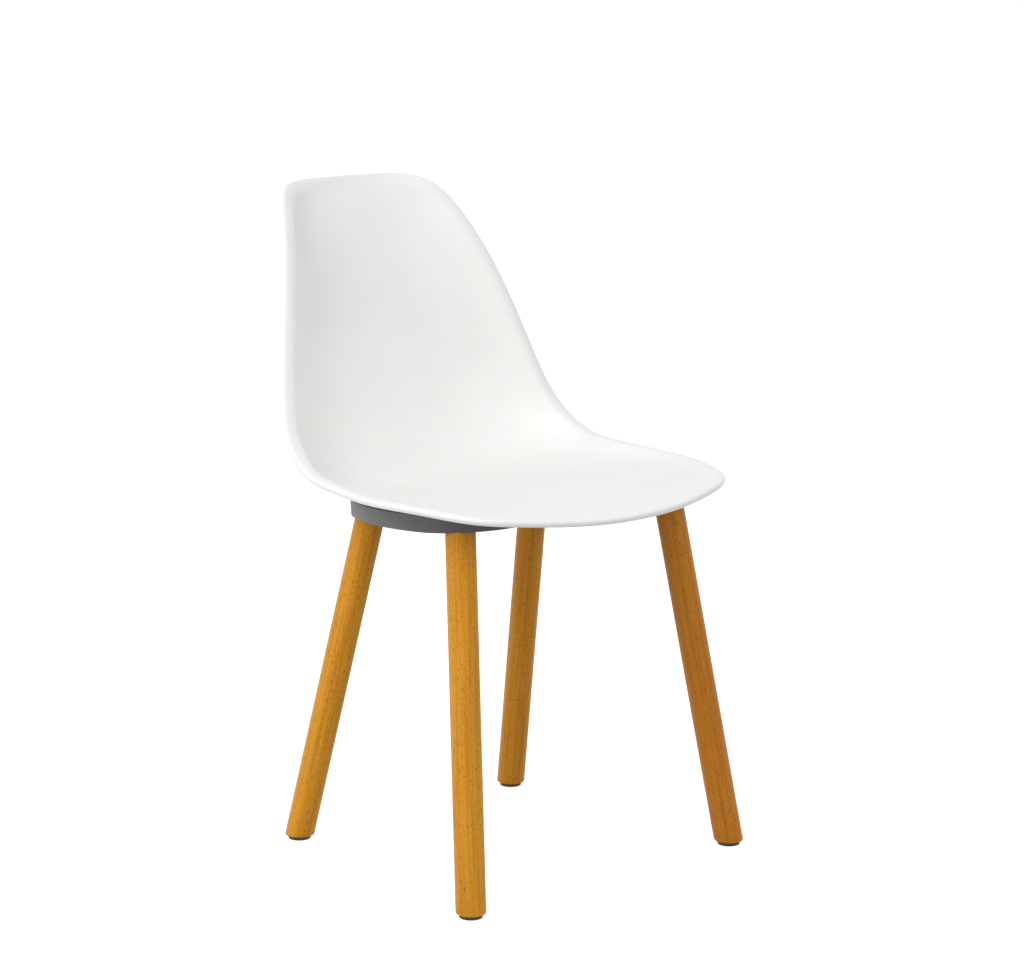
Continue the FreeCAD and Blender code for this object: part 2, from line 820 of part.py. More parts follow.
centring = Placement(Vector(0, -middle_of(skin), 0), Rotation())
for node in nodes:
    node.Label = node.Name
    node.Placement = centring.multiply(node.Placement)
document.recompute()

for item in document.Objects:
    if hasattr(item, "Shape") and not item.isDerivedFrom("App::OriginFeature"):
        if not item.isDerivedFrom("Sketcher::SketchObject"):
            check(item)

os.makedirs("parts", exist_ok=True)
for node in nodes:
    export(node)
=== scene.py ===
import bmesh
import bpy
import math
import numpy as np
from mathutils import Matrix, Vector


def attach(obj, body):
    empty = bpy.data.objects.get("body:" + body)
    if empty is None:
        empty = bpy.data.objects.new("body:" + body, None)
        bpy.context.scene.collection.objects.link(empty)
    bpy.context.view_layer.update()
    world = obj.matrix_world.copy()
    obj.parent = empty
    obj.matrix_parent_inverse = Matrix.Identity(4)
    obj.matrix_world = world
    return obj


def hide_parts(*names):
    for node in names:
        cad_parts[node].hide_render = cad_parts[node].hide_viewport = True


# Moulded plastic shell chair, dressed over its solids.
# Metres. The sitter faces -Y, +X is the sitter's left, and Z = 0 is the floor.

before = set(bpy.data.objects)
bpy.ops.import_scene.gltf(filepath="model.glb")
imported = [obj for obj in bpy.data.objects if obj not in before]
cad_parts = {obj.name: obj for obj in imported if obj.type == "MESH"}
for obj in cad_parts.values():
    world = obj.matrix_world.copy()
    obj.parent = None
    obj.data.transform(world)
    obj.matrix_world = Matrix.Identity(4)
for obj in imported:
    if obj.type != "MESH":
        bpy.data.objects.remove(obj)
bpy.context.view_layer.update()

MM = 0.001
# Metres within which two points are one
MERGE_GAP = 1e-6
# Metres from its axis at which a turned profile closes
ON_AXIS = 0.0001
# Steps in a quarter round
ROUND_STEPS = 6

# Shell
SHELL_WIDTH = 491.0
SEAT_HEIGHT = 443.0
SEAT_DEPTH = 323.0
SEAT_FRONT_REACH = 217.0
SIDE_RISE = 20.0
SEAT_CROWN = 12.0
SEAT_DIP = 10.0
BACK_HEIGHT = 348.5
BACK_REACH = 214.0
SHELL_WALL = 5.0
LIP_WIDTH = 20.0
LIP_RAISE = 1.5
LIP_FADE = 60.0
BOSS_RADIUS = 10.0
BOSS_HEIGHT = 11.0
BOSS_HOLE_RADIUS = 4.2
BOSS_HOLE_DEPTH = 8.6

# Under-seat base
BASE_HEIGHT = 420.0
BASE_TILT = 5.0
PILLAR_HEIGHT = 9.0
BOSS_ACROSS = 75.0
BOSS_FRONT = -62.0
BOSS_REAR = 70.0

# Legs: head and foot points of each axis on the sitter's left, mirrored for the right
LEG_RADIUS = 17.5
LEG_INSERTION = 12.0
HEAD_HEIGHT = 437.5
LEG_HEADS = {"front": (161.2, -97.7), "rear": (127.1, 97.7)}
LEG_FEET = {"front": (206.6, -167.9), "rear": (172.2, 196.7)}
FOOT_ROUND = 2.5
LEG_CHAMFER = 1.0
LEG_INSERT_RADIUS = 6.0
LEG_INSERT_LENGTH = 20.0
LEG_PILOT_RADIUS = 4.3
LEG_PILOT_DEPTH = 34.0
GLIDE_RADIUS = 13.5
GLIDE_HEIGHT = 4.5
GLIDE_ROUND = 1.2
GLIDE_HOLE = 1.85
GLIDE_RECESS = 2.2
GLIDE_RECESS_RADIUS = 4.4
GLIDE_BREAK = 0.3
CORNERS = ["front_left", "front_right", "rear_left", "rear_right"]

# Screws: shank radius and length, head radius and height, socket radius
SEAT_SCREW = (2.9, 12.0, 5.2, 3.0, 2.0)
SEAT_SCREW_HEIGHT = 3.8
GLIDE_SCREW = (1.75, 18.0, 4.0, 1.7, 1.2)
SOCKET_DEPTH = 1.2
SEAT_SCREW_SEED = 3
GLIDE_SCREW_SEED = 8
SCREW_SPOTS = [(side * BOSS_ACROSS, along) for along in (BOSS_FRONT, BOSS_REAR)
               for side in (-1, 1)]

# Wood: 0 for the redder, darker tone, 1 for the golden one; the front left and rear left legs, which
# the seat shades, are set darker, partly the wood's own tone and partly painted shade; metres that
# part the legs' grain
LEG_TONES_AND_SHADE = {"front_left": 0.0, "front_right": 0.9, "rear_left": 0.7, "rear_right": 1.0}
GRAIN_SHIFT = (0.3, 0.2, 0.7)

# Photograph's viewpoint, before the chair is centred front to back
CAMERA_PLACE = Vector((-2.3631, -2.6947, 1.1470))
CAMERA_TARGET = Vector((0.0013, -0.0012, 0.4462))
CAMERA_LENS = 108.3
SENSOR_WIDTH = 36.0


# The shell's skin, by the same rule as its solid

def rim_points():
    """Control points of the rim, from the front's middle round the left side to the top's middle."""
    half, front, low = SHELL_WIDTH / 2, -SEAT_FRONT_REACH, SEAT_HEIGHT
    seat = [(0.00, 0.000, 0.06), (0.25, 0.000, 0.06), (0.62, 0.070, 0.50), (0.83, 0.158, 0.70),
            (0.92, 0.378, 1.00), (0.977, 0.610, 0.95), (0.93, 0.850, 1.15), (0.924, 1.000, 1.35)]
    back = [(0.88, 0.215, 0.170), (0.832, 0.318, 0.297), (0.749, 0.424, 0.516),
            (0.652, 0.551, 0.731), (0.556, 0.699, 0.891), (0.469, 0.870, 1.005),
            (0.25, 1.000, 1.000), (0.00, 1.000, 1.000)]
    points = [(half * across, front + SEAT_DEPTH * along, low + SIDE_RISE * up)
              for across, along, up in seat]
    points += [(half * across, front + SEAT_DEPTH + BACK_REACH * along, low + BACK_HEIGHT * up)
               for across, along, up in back]
    return np.array(points)


def centre_line_points():
    """Control points of the shell's centre line, from the front edge to the top edge."""
    front, low = -SEAT_FRONT_REACH, SEAT_HEIGHT
    bend = front + SEAT_DEPTH
    return np.array([
        (0, front, low), (0, front + 0.06 * SEAT_DEPTH, low + 0.9 * SEAT_CROWN),
        (0, front + 0.33 * SEAT_DEPTH, low + SEAT_CROWN), (0, front + 0.72 * SEAT_DEPTH, low),
        (0, bend + 0.08 * BACK_REACH, low - SEAT_DIP), (0, bend + 0.44 * BACK_REACH, low - 3),
        (0, bend + 0.53 * BACK_REACH, low + 0.22 * BACK_HEIGHT),
        (0, bend + 0.67 * BACK_REACH, low + 0.57 * BACK_HEIGHT),
        (0, bend + 0.83 * BACK_REACH, low + 0.81 * BACK_HEIGHT),
        (0, bend + BACK_REACH, low + BACK_HEIGHT)])


# Where each rib leaves the centre line, 0 at the front edge and 1 at the top
RIB_STARTS = [0.16, 0.17, 0.19, 0.21, 0.24, 0.30, 0.38, 0.46,
              0.54, 0.60, 0.70, 0.80, 0.87, 0.91, 0.92, 0.92]
# Ribs run from the centre line to the rim: shares of the way to the lip and of the rise
RIB_SHAPE = [(0.0, 0.0), (0.37, 0.0), (0.74, 0.07), (0.94, 0.58)]
# Lip widths in from the rim, shares of the rise at the ends and at the sides, share of the raise
LIP_SHAPE = [(1.0, 0.72, 0.99, 0.3), (0.68, 0.84, 1.0, 1.0), (0.36, 0.94, 1.0, 0.9)]
# The turned-down edge, outwards and upwards from the rim in wall thicknesses
EDGE_SHAPE = [(-0.45, 0.08), (0.12, -0.45), (-0.25, -1.55), (-0.90, -1.50), (-1.15, -1.0)]
# How far off the middle the lip is whole, as a share of the shell's width
LIP_WHOLE = 0.22
# Mesh steps in each span of the net, front to back and from the centre outwards
STEPS_ALONG = 13
STEPS_ACROSS = 12


def basis(count, places, degree=3):
    """Weights of a clamped even B-spline's points at each place from 0 to 1."""
    spans = count - degree
    knots = np.array([0.0] * degree + list(np.linspace(0, 1, spans + 1)) + [1.0] * degree)
    places = np.clip(np.asarray(places, float), 0.0, 1.0 - 1e-12)
    weights = np.array([(knots[i] <= places) & (places < knots[i + 1])
                        for i in range(len(knots) - 1)], float)
    for level in range(1, degree + 1):
        following = np.zeros((len(knots) - 1 - level, len(places)))
        for i in range(len(following)):
            left, right = knots[i + level] - knots[i], knots[i + level + 1] - knots[i + 1]
            if left > 0:
                following[i] += (places - knots[i]) / left * weights[i]
            if right > 0:
                following[i] += (knots[i + level + 1] - places) / right * weights[i + 1]
        weights = following
    return weights.T


def unit(vector):
    """A vector at length 1."""
    return vector / np.linalg.norm(vector)


def centre_line(place):
    """Point and direction of the centre line at a place from 0 to 1."""
    points = centre_line_points()
    step = 1e-5
    before, here, after = basis(len(points), [place - step, place, place + step]) @ points
    return here, unit(after - before)


def lip_share(rim_point):
    """How much of the flat lip is left: all at the sides, none in front and at the top's middle."""
    behind_front = (rim_point[1] + SEAT_FRONT_REACH) / LIP_FADE
    off_middle = rim_point[0] / (LIP_WHOLE * SHELL_WIDTH)
    share = min(behind_front, off_middle, 1.0)
    return share * share * (3 - 2 * share)


def rib(start, rim_point):
    """Control points of one rib up to the lip, with its outward and upward directions."""
    foot, along = centre_line(start)
    reach = rim_point - foot
    run = np.array([reach[0], 0, 0]) + along * (reach @ along)
    rise = reach - run
    length = np.linalg.norm(run)
    upward = np.array([0, -along[2], along[1]])
    share = lip_share(rim_point)
    lip_start = 1.0 - LIP_SHAPE[0][0] * LIP_WIDTH / length
    points = [foot + run * out * lip_start + rise * up for out, up in RIB_SHAPE]
    for inset, end_up, side_up, raised in LIP_SHAPE:
        up = end_up + (side_up - end_up) * share
        points.append(foot + run * (1.0 - inset * LIP_WIDTH / length) + rise * up
                      + upward * (raised * LIP_RAISE * share))
    return np.array(points + [rim_point]), run / length, upward


def net_normals(net):
    """The net's upward normals; those in the mirror plane don't lean aside."""
    mirror = np.array([-1.0, 1.0, 1.0])
    framed = np.concatenate([net[1:2] * mirror, net, net[-2:-1] * mirror])
    normals = np.zeros_like(net)
    for station in range(len(net)):
        for place in range(net.shape[1]):
            column = max(place, 1)
            along = framed[station + 2][column] - framed[station][column]
            across = net[station][min(column + 1, net.shape[1] - 1)] - net[station][column - 1]
            normals[station][place] = unit(np.cross(across, along))
    normals[:, 0, 0] = 0.0
    normals[[0, -1], :, 0] = 0.0
    return normals / np.linalg.norm(normals, axis=2, keepdims=True)


def wall_net():
    """The skin net carried over the turned-down rim and back along the underside."""
    ribs = [rib(start, point) for start, point in zip(RIB_STARTS, rim_points())]
    net = np.array([points for points, _, _ in ribs])
    under = net - net_normals(net) * SHELL_WALL
    edge = np.array([[points[-1] + (outward * out + upward * up) * SHELL_WALL
                      for out, up in EDGE_SHAPE] for points, outward, upward in ribs])
    return np.concatenate([net[:, :-1], edge, under[:, -2::-1]], axis=1)


def shell_grid():
    """Points of the left half of the shell, from the centre over the rim to the underside."""
    net = wall_net()
    along = np.linspace(0, 1, (net.shape[0] - 3) * STEPS_ALONG + 1)
    across = np.linspace(0, 1, (net.shape[1] - 3) * STEPS_ACROSS + 1)
    rows = basis(net.shape[0], along)
    columns = basis(net.shape[1], across)
    return np.einsum("ap,bq,pqc->abc", rows, columns, net)


half_shell = shell_grid()
# The chair's origin is under the middle of its depth
MIDDLE = (half_shell[:, :, 1].min() + half_shell[:, :, 1].max()) / 2
CENTRING = Vector((0, -MIDDLE * MM, 0))


def base_frame():
    """The grey base's frame: its underside plane, tipped up at the front."""
    place = Matrix.Translation(Vector((0, 0, BASE_HEIGHT * MM)) + CENTRING)
    return place @ Matrix.Rotation(math.radians(-BASE_TILT), 4, "X")


def leg_frame(corner):
    """A leg's frame and its length: Z up the axis, Y level, origin at the glide's top."""
    end, side = corner.split("_")
    across = 1.0 if side == "left" else -1.0
    head = Vector((across * LEG_HEADS[end][0], LEG_HEADS[end][1], HEAD_HEIGHT)) * MM
    foot = Vector((across * LEG_FEET[end][0], LEG_FEET[end][1], 0.0)) * MM
    axis = (head - foot).normalized()
    start = foot + axis * (GLIDE_HEIGHT * MM / axis.z) + CENTRING
    level = Vector((0, 0, 1)).cross(axis).normalized()
    turn = Matrix((level.cross(axis), level, axis)).transposed().to_4x4()
    plane = base_frame()
    normal = plane.to_3x3() @ Vector((0, 0, 1))
    length = (plane.translation - start).dot(normal) / axis.dot(normal) + LEG_INSERTION * MM
    return Matrix.Translation(start) @ turn, length


# Materials

def srgb(code):
    """Linear colour of an sRGB hex code."""
    parts = [int(code[i:i + 2], 16) / 255 for i in (1, 3, 5)]
    linear = [c / 12.92 if c <= 0.04045 else ((c + 0.055) / 1.055) ** 2.4 for c in parts]
    return (*linear, 1.0)


def node(tree, kind, inputs=None, **settings):
    """Add a node with its settings, its plain inputs and its links."""
    item = tree.nodes.new(kind)
    for name, value in settings.items():
        setattr(item, name, value)
    for name, value in (inputs or {}).items():
        if isinstance(value, bpy.types.NodeSocket):
            tree.links.new(value, item.inputs[name])
        else:
            item.inputs[name].default_value = value
    return item


def new_material(name):
    """A material and its empty node tree."""
    material = bpy.data.materials.new(name)
    material.use_nodes = True
    tree = material.node_tree
    tree.nodes.clear()
    return material, tree


def surface(tree, **inputs):
    """The finish of a material: its shader and its output."""
    named = {name.replace("_", " "): value for name, value in inputs.items()}
    shader = node(tree, "ShaderNodeBsdfPrincipled", named)
    node(tree, "ShaderNodeOutputMaterial", {"Surface": shader.outputs["BSDF"]})


def ramp(tree, value, stops):
    """A colour ramp through the given places and hex colours."""
    item = node(tree, "ShaderNodeValToRGB", {"Fac": value})
    item.color_ramp.elements[0].position = stops[0][0]
    item.color_ramp.elements[0].color = srgb(stops[0][1])
    item.color_ramp.elements[1].position = stops[-1][0]
    item.color_ramp.elements[1].color = srgb(stops[-1][1])
    for place, code in stops[1:-1]:
        item.color_ramp.elements.new(place).color = srgb(code)
    return item.outputs["Color"]


def shell_material():
    """Injection-moulded polypropylene: off-white, a soft gloss over a fine spark-eroded grain."""
    material, tree = new_material("moulded_white_polypropylene")
    place = node(tree, "ShaderNodeTexCoord").outputs["Object"]
    # Grain 0.7 mm across, flow marks of 110 mm
    grain = node(tree, "ShaderNodeTexNoise", {"Vector": place, "Scale": 1400.0, "Detail": 3.0})
    flow = node(tree, "ShaderNodeTexNoise", {"Vector": place, "Scale": 9.0, "Detail": 2.0})
    tint = ramp(tree, flow.outputs["Fac"], [(0.3, "#F1F1EF"), (0.7, "#F5F5F3")])
    gloss = node(tree, "ShaderNodeMapRange",
                 {"Value": grain.outputs["Fac"], "To Min": 0.36, "To Max": 0.46})
    bump = node(tree, "ShaderNodeBump", {"Height": grain.outputs["Fac"], "Strength": 0.06,
                                         "Distance": 0.0002})
    surface(tree, Base_Color=tint, Roughness=gloss.outputs["Result"],
            Normal=bump.outputs["Normal"], IOR=1.49)
    return material


def base_material():
    """Glass-filled nylon: mid grey, matte, with a fine speckle of fibre near the surface."""
    material, tree = new_material("glass_filled_nylon_grey")
    place = node(tree, "ShaderNodeTexCoord").outputs["Object"]
    # Specks 1.1 mm across, clouds of 70 mm
    speck = node(tree, "ShaderNodeTexNoise", {"Vector": place, "Scale": 900.0, "Detail": 4.0})
    cloud = node(tree, "ShaderNodeTexNoise", {"Vector": place, "Scale": 14.0, "Detail": 3.0})
    fibre = ramp(tree, speck.outputs["Fac"], [(0.3, "#3F413F"), (0.7, "#494B48")])
    shade = ramp(tree, cloud.outputs["Fac"], [(0.3, "#404240"), (0.7, "#474946")])
    mixed = node(tree, "ShaderNodeMix", {"Factor": 0.5, "A": fibre, "B": shade}, data_type="RGBA")
    bump = node(tree, "ShaderNodeBump", {"Height": speck.outputs["Fac"], "Strength": 0.15,
                                         "Distance": 0.0003})
    surface(tree, Base_Color=mixed.outputs["Result"], Roughness=0.48,
            Normal=bump.outputs["Normal"], IOR=1.53)
    return material


def wood_material():
    """Lacquered hardwood dowel: honey-gold to reddish, long streaks, short dark pores."""
    material, tree = new_material("lacquered_hardwood_dowel")
    place = node(tree, "ShaderNodeAttribute", attribute_name="grain").outputs["Vector"]
    # Each leg's tone is partly the wood's own colour and partly painted shade, darker on the legs
    # the seat shades
    tone_and_shade = node(tree, "ShaderNodeAttribute", attribute_name="tone_and_shade").outputs["Fac"]

    def stretched(along, scale, detail, rough=0.5):
        """Noise drawn out along the grain."""
        turned = node(tree, "ShaderNodeMapping", {"Vector": place, "Scale": (1.0, 1.0, along)})
        return node(tree, "ShaderNodeTexNoise",
                    {"Vector": turned.outputs["Vector"], "Scale": scale, "Detail": detail,
                     "Roughness": rough}).outputs["Fac"]

    def blended(share, first, second):
        """Two colours, the second by its share."""
        return node(tree, "ShaderNodeMix", {"Factor": share, "A": first, "B": second},
                    data_type="RGBA").outputs["Result"]

    # Streaks 4 mm by 130 mm, fibres 0.7 mm by 17 mm, pores 0.9 mm by 4 mm
    streak = stretched(0.03, 260.0, 4.0)
    fibre = stretched(0.04, 1500.0, 3.0)
    pores = stretched(0.22, 1150.0, 2.0, 0.4)
    gold = ramp(tree, streak, [(0.28, "#C67F14"), (0.5, "#DC971F"), (0.75, "#EAAA32")])
    brown = ramp(tree, streak, [(0.28, "#A65F10"), (0.5, "#C07417"), (0.75, "#CF8723")])
    fine = ramp(tree, fibre, [(0.3, "#B56D13"), (0.7, "#DE9C26")])
    wood = blended(0.3, blended(tone_and_shade, brown, gold), fine)
    dots = node(tree, "ShaderNodeMapRange", {"Value": pores, "From Min": 0.64, "From Max": 0.70})
    colour = blended(dots.outputs["Result"], wood, srgb("#6B3F12"))
    height = node(tree, "ShaderNodeMath", {0: fibre, 1: dots.outputs["Result"]},
                  operation="SUBTRACT")
    bump = node(tree, "ShaderNodeBump", {"Height": height.outputs["Value"], "Strength": 0.2,
                                         "Distance": 0.0002})
    surface(tree, Base_Color=colour, Roughness=0.5, Normal=bump.outputs["Normal"], IOR=1.5,
            Specular_IOR_Level=0.2, Coat_Weight=0.05, Coat_Roughness=0.35)
    return material


def glide_material():
    """Nylon foot glide: near-black, scuffed dull by the floor."""
    material, tree = new_material("black_nylon_glide")
    place = node(tree, "ShaderNodeTexCoord").outputs["Object"]
    # Scuffs 1.4 mm across
    scuff = node(tree, "ShaderNodeTexNoise", {"Vector": place, "Scale": 700.0, "Detail": 4.0})
    tint = ramp(tree, scuff.outputs["Fac"], [(0.35, "#1D1814"), (0.75, "#2C2520")])
    surface(tree, Base_Color=tint, Roughness=0.55, IOR=1.53)
    return material


def metal_material(name, light, dark, roughness, scale):
    """A turned metal with fine lighter and darker marks, so many to the metre."""
    material, tree = new_material(name)
    place = node(tree, "ShaderNodeTexCoord").outputs["Object"]
    marks = node(tree, "ShaderNodeTexNoise", {"Vector": place, "Scale": scale, "Detail": 3.0})
    tint = ramp(tree, marks.outputs["Fac"], [(0.3, dark), (0.7, light)])
    gloss = node(tree, "ShaderNodeMapRange", {"Value": marks.outputs["Fac"],
                                              "To Min": roughness, "To Max": roughness + 0.15})
    surface(tree, Base_Color=tint, Metallic=1.0, Roughness=gloss.outputs["Result"])
    return material


SHELL_PLASTIC = shell_material()
BASE_PLASTIC = base_material()
WOOD = wood_material()
GLIDE_PLASTIC = glide_material()
BRASS = metal_material("turned_brass", "#C9A35C", "#A8813F", 0.3, 900.0)
STEEL = metal_material("bright_zinc_plated_steel", "#C9CACB", "#9EA0A2", 0.28, 1100.0)


# Pieces

def add_piece(name, points, faces, material, node_name, smooth_angle=40):
    """A mesh piece on the chair, standing for its solid."""
    mesh = bpy.data.meshes.new(name)
    mesh.from_pydata([tuple(point) for point in points], [], faces)
    mesh.materials.append(material)
    return show(name, mesh, node_name, smooth_angle)


def show(name, mesh, node_name, smooth_angle=40):
    """Set a finished mesh on the chair in its solid's place."""
    mesh.shade_smooth()
    mesh.set_sharp_from_angle(angle=math.radians(smooth_angle))
    piece = bpy.data.objects.new(name, mesh)
    bpy.context.scene.collection.objects.link(piece)
    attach(piece, "root")
    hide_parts(node_name)
    return piece


def merged(points, faces, gap):
    """Points and faces with doubles merged and faces turned outwards."""
    mesh = bpy.data.meshes.new("merging")
    mesh.from_pydata([tuple(point) for point in points], [], faces)
    work = bmesh.new()
    work.from_mesh(mesh)
    bmesh.ops.remove_doubles(work, verts=work.verts, dist=gap)
    bmesh.ops.dissolve_degenerate(work, edges=work.edges, dist=gap)
    bmesh.ops.recalc_face_normals(work, faces=work.faces)
    work.verts.ensure_lookup_table()
    points = [vertex.co.copy() for vertex in work.verts]
    faces = [[vertex.index for vertex in face.verts] for face in work.faces]
    work.free()
    bpy.data.meshes.remove(mesh)
    return points, faces


def grid_faces(rows, columns, first=0, closed=False):
    """Faces of a grid of points, row after row."""
    faces = []
    for row in range(rows - 1):
        for column in range(columns if closed else columns - 1):
            after = (column + 1) % columns
            low, high = first + row * columns, first + (row + 1) * columns
            faces.append((low + column, high + column, high + after, low + after))
    return faces


def rounded(radius, rounding):
    """Profile of a lower edge softened by a quarter round."""
    profile = []
    for step in range(ROUND_STEPS + 1):
        angle = math.pi / 2 * step / ROUND_STEPS
        profile.append((radius - rounding * (1 - math.sin(angle)),
                        rounding * (1 - math.cos(angle))))
    return profile


def turned(profile, segments, frame_matrix, first=0):
    """A profile of radius and height pairs turned about the frame's Z axis."""
    points = []
    for radius, height in profile:
        for index in range(segments):
            angle = 2 * math.pi * index / segments
            points.append(frame_matrix @ Vector((radius * math.cos(angle),
                                                 radius * math.sin(angle), height)))
    return points, grid_faces(len(profile), segments, first, closed=True)


def make_shell():
    """Seat and back in one skin, with its rounded lip and the bosses under the seat."""
    left = half_shell.reshape(-1, 3) * MM
    right = left * np.array([-1.0, 1.0, 1.0])
    points = [Vector(point) + CENTRING for point in np.concatenate([left, right])]
    rows, columns = half_shell.shape[:2]
    faces = grid_faces(rows, columns) + grid_faces(rows, columns, len(left))
    points, faces = merged(points, faces, MERGE_GAP)
    plane = base_frame()
    deep, tall = BOSS_HOLE_DEPTH * MM, BOSS_HEIGHT * MM
    profile = [(ON_AXIS, deep), (BOSS_HOLE_RADIUS * MM, deep), (BOSS_HOLE_RADIUS * MM, 0.0),
               (BOSS_RADIUS * MM, 0.0), (BOSS_RADIUS * MM, tall), (ON_AXIS, tall)]
    for across, along in SCREW_SPOTS:
        foot = plane @ Matrix.Translation(Vector((across, along, PILLAR_HEIGHT)) * MM)
        more, ring = turned(profile, 40, foot, len(points))
        points += more
        faces += ring
    add_piece("shell_moulding", points, faces, SHELL_PLASTIC, "seat_shell")


def make_leg(corner, index):
    """A straight dowel with a level, softened foot and a bolt hole in its head."""
    matrix, length = leg_frame(corner)
    radius, chamfer = LEG_RADIUS * MM, LEG_CHAMFER * MM
    slope = math.tan((matrix.to_3x3() @ Vector((0, 0, 1))).angle(Vector((0, 0, 1))))
    profile = [(ON_AXIS, 0.0), (radius / 2, 0.0)] + rounded(radius, FOOT_ROUND * MM)
    foot_rings = len(profile)
    shaft_rings = 40
    profile += [(radius, length * share) for share in np.linspace(0.03, 0.99, shaft_rings)]
    insert, pilot = LEG_INSERT_RADIUS * MM, LEG_PILOT_RADIUS * MM
    ledge, bottom = length - LEG_INSERT_LENGTH * MM, length - LEG_PILOT_DEPTH * MM
    profile += [(radius, length - chamfer), (radius - chamfer, length), (insert, length),
                (insert, ledge), (pilot, ledge), (pilot, bottom), (ON_AXIS, bottom)]
    segments = 96
    points, faces = turned(profile, segments, Matrix.Identity(4))
    for ring in range(foot_rings):
        for place in range(segments):
            point = points[ring * segments + place]
            point.z += point.x * slope
    shift = Vector([part * index for part in GRAIN_SHIFT])
    grain = [point + shift for point in points]
    piece = add_piece("dowel_" + corner, [matrix @ point for point in points], faces, WOOD,
                      "leg_" + corner)
    store = piece.data.attributes.new("grain", "FLOAT_VECTOR", "POINT")
    store.data.foreach_set("vector", np.array(grain, np.float32).reshape(-1))
    # The tone is partly painted shade: the legs in the seat's shadow get the darker values
    tone_and_shade = piece.data.attributes.new("tone_and_shade", "FLOAT", "POINT")
    tone_and_shade.data.foreach_set("value", np.full(len(grain), LEG_TONES_AND_SHADE[corner], np.float32))


def make_glide(corner):
    """A round foot glide with a softened lower edge and a screw recess."""
    matrix, _ = leg_frame(corner)
    place = Matrix.Translation(Vector((matrix.translation.x, matrix.translation.y, 0.0)))
    radius, high = GLIDE_RADIUS * MM, GLIDE_HEIGHT * MM
    hole, seat, edge = GLIDE_HOLE * MM, GLIDE_RECESS * MM, GLIDE_BREAK * MM
    recess = GLIDE_RECESS_RADIUS * MM
    profile = [(hole, high), (hole, seat), (recess, seat), (recess, edge), (recess + edge, 0.0)]
    profile += rounded(radius, GLIDE_ROUND * MM)
    profile += [(radius, high - edge), (radius - edge, high), (hole, high)]
    segments = 72
    points, faces = turned(profile, segments, place)
    add_piece("foot_glide_" + corner, points, faces, GLIDE_PLASTIC,
              "glide_" + corner, smooth_angle=50)


def screw_object(name, shank, length, head, high, drive):
    """One socket screw standing on its head's seat: shank up, head below."""
    segments = 48
    axis = 0.01
    bevel = 0.08 * head
    floor = SOCKET_DEPTH - high
    # Radius, height and whether the ring is six-sided
    rings = [(axis, floor, True), (drive, floor, True), (drive, -high, True),
             (head - bevel, -high, False), (head, bevel - high, False), (head, -bevel, False),
             (head - bevel, 0.0, False), (shank, 0.0, False), (shank, length - shank, False),
             (axis, length, False)]
    sixth = math.pi / 3
    points = []
    for radius, height, six_sided in rings:
        for index in range(segments):
            angle = 2 * math.pi * index / segments
            flat = math.cos(sixth / 2) / math.cos(angle % sixth - sixth / 2)
            out = radius * flat if six_sided else radius
            points.append(Vector((out * math.cos(angle), out * math.sin(angle), height)) * MM)
    mesh = bpy.data.meshes.new(name)
    mesh.from_pydata(points, [], grid_faces(len(rings), segments, closed=True))
    return bpy.data.objects.new(name, mesh)


def screw_tree():
    """Nodes that set a screw on each point, tip it and turn its socket at random."""
    sixth = math.pi / 3
    tree = bpy.data.node_groups.new("screws_on_points", "GeometryNodeTree")
    for name, kind in (("Geometry", "Geometry"), ("Screw", "Object"), ("Tilt", "Float"),
                       ("Finish", "Material"), ("Seed", "Int")):
        tree.interface.new_socket(name, in_out="INPUT", socket_type="NodeSocket" + kind)
    tree.interface.new_socket("Geometry", in_out="OUTPUT", socket_type="NodeSocketGeometry")
    given = node(tree, "NodeGroupInput").outputs
    source = node(tree, "GeometryNodeObjectInfo", {"Object": given["Screw"]})
    tipped = node(tree, "ShaderNodeCombineXYZ", {"X": given["Tilt"]})
    placed = node(tree, "GeometryNodeInstanceOnPoints",
                  {"Points": given["Geometry"], "Instance": source.outputs["Geometry"],
                   "Rotation": tipped.outputs["Vector"]})
    # Inputs 2 and 3 are the least and the most of a plain number, output 1 is that number
    random = node(tree, "FunctionNodeRandomValue", {2: 0.0, 3: sixth, "Seed": given["Seed"]},
                  data_type="FLOAT")
    turn = node(tree, "ShaderNodeCombineXYZ", {"Z": random.outputs[1]})
    spun = node(tree, "GeometryNodeRotateInstances",
                {"Instances": placed.outputs["Instances"], "Rotation": turn.outputs["Vector"]})
    real = node(tree, "GeometryNodeRealizeInstances", {"Geometry": spun.outputs["Instances"]})
    finished = node(tree, "GeometryNodeSetMaterial", {"Geometry": real.outputs["Geometry"],
                                                      "Material": given["Finish"]})
    node(tree, "NodeGroupOutput", {"Geometry": finished.outputs["Geometry"]})
    return tree


def make_screws(name, tree, sizes, places, tilt, seed, node_name):
    """All the screws of one kind as one mesh."""
    screw = screw_object(name + "_one", *sizes)
    mesh = bpy.data.meshes.new(name + "_places")
    mesh.from_pydata([tuple(place) for place in places], [], [])
    holder = bpy.data.objects.new(name + "_places", mesh)
    bpy.context.scene.collection.objects.link(holder)
    modifier = holder.modifiers.new("screws", "NODES")
    modifier.node_group = tree
    values = {"Screw": screw, "Tilt": tilt, "Finish": STEEL, "Seed": seed}
    for item in tree.interface.items_tree:
        if item.in_out == "INPUT" and item.name in values:
            modifier[item.identifier] = values[item.name]
    graph = bpy.context.evaluated_depsgraph_get()
    made = bpy.data.meshes.new_from_object(holder.evaluated_get(graph), depsgraph=graph)
    made.name = name
    bpy.data.objects.remove(holder)
    bpy.data.objects.remove(screw)
    show(name, made, node_name, smooth_angle=30)


def dress_solid(node_name, material):
    """Give a solid that already has its right shape its finish."""
    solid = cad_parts[node_name]
    solid.data.materials.clear()
    solid.data.materials.append(material)


